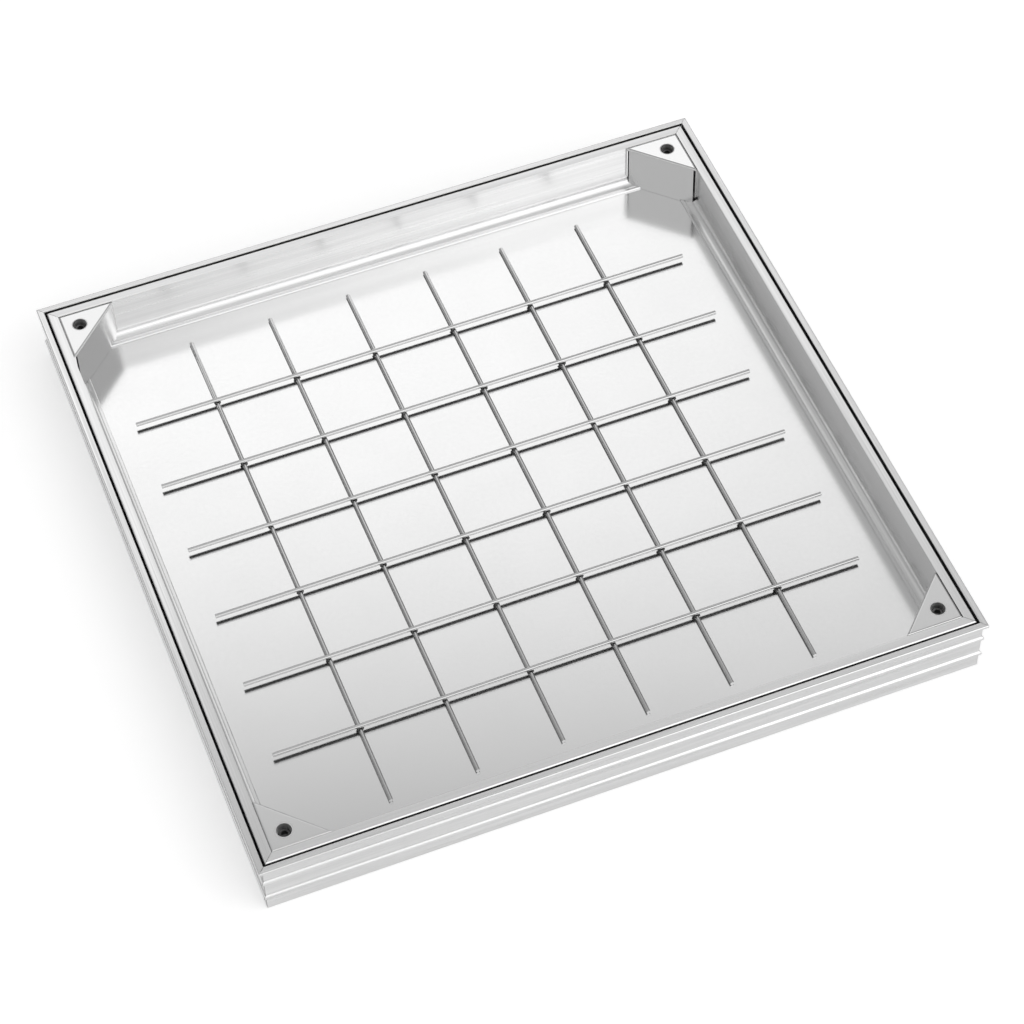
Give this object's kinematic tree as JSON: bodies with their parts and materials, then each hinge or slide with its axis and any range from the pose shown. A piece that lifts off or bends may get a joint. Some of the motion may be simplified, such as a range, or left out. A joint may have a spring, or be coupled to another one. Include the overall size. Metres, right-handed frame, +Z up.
{
  "type": "recessed_cover",
  "caption": "Square recessed paving cover: aluminium frame and tray with a wire mesh for the mortar and a socket lock screw in each corner",
  "frame": {"origin": "middle of the underside of the frame", "axes": "+Z up to the paving surface, +X along the front from left to right, +Y to the back"},
  "size_m": [0.6, 0.6, 0.055],
  "materials": {
    "frame_section": "mill finish, fine die lines",
    "tray_section": "mill finish, fine die lines",
    "tray_sheet": "smooth satin",
    "corner_plate": "smooth satin",
    "joint_aluminium": "plain",
    "seal_rubber": "matt black",
    "sleeve_steel": "turned and polished",
    "screw_steel": "plain",
    "mesh_wire": "drawn bright wire"
  },
  "bodies": {
    "root": {"frame_front": "frame_section", "frame_right": "frame_section", "frame_back": "frame_section", "frame_left": "frame_section", "tray_rim_front": "tray_section", "tray_rim_right": "tray_section", "tray_rim_back": "tray_section", "tray_rim_left": "tray_section", "tray_sheet": "tray_sheet", "corner_plate_1": "corner_plate", "corner_plate_2": "corner_plate", "corner_plate_3": "corner_plate", "corner_plate_4": "corner_plate", "corner_cleat_1": "joint_aluminium", "corner_cleat_2": "joint_aluminium", "corner_cleat_3": "joint_aluminium", "corner_cleat_4": "joint_aluminium", "tray_key_1": "joint_aluminium", "tray_key_2": "joint_aluminium", "tray_key_3": "joint_aluminium", "tray_key_4": "joint_aluminium", "seal_front": "seal_rubber", "seal_right": "seal_rubber", "seal_back": "seal_rubber", "seal_left": "seal_rubber", "lock_sleeve_1": "sleeve_steel", "lock_sleeve_2": "sleeve_steel", "lock_sleeve_3": "sleeve_steel", "lock_sleeve_4": "sleeve_steel", "lock_screw_1": "screw_steel", "lock_screw_2": "screw_steel", "lock_screw_3": "screw_steel", "lock_screw_4": "screw_steel", "cleat_screws": "screw_steel", "mesh_rod_x1": "mesh_wire", "mesh_rod_x2": "mesh_wire", "mesh_rod_x3": "mesh_wire", "mesh_rod_x4": "mesh_wire", "mesh_rod_x5": "mesh_wire", "mesh_rod_x6": "mesh_wire", "mesh_rod_y1": "mesh_wire", "mesh_rod_y2": "mesh_wire", "mesh_rod_y3": "mesh_wire", "mesh_rod_y4": "mesh_wire", "mesh_rod_y5": "mesh_wire", "mesh_rod_y6": "mesh_wire"}
  },
  "joints": []
}
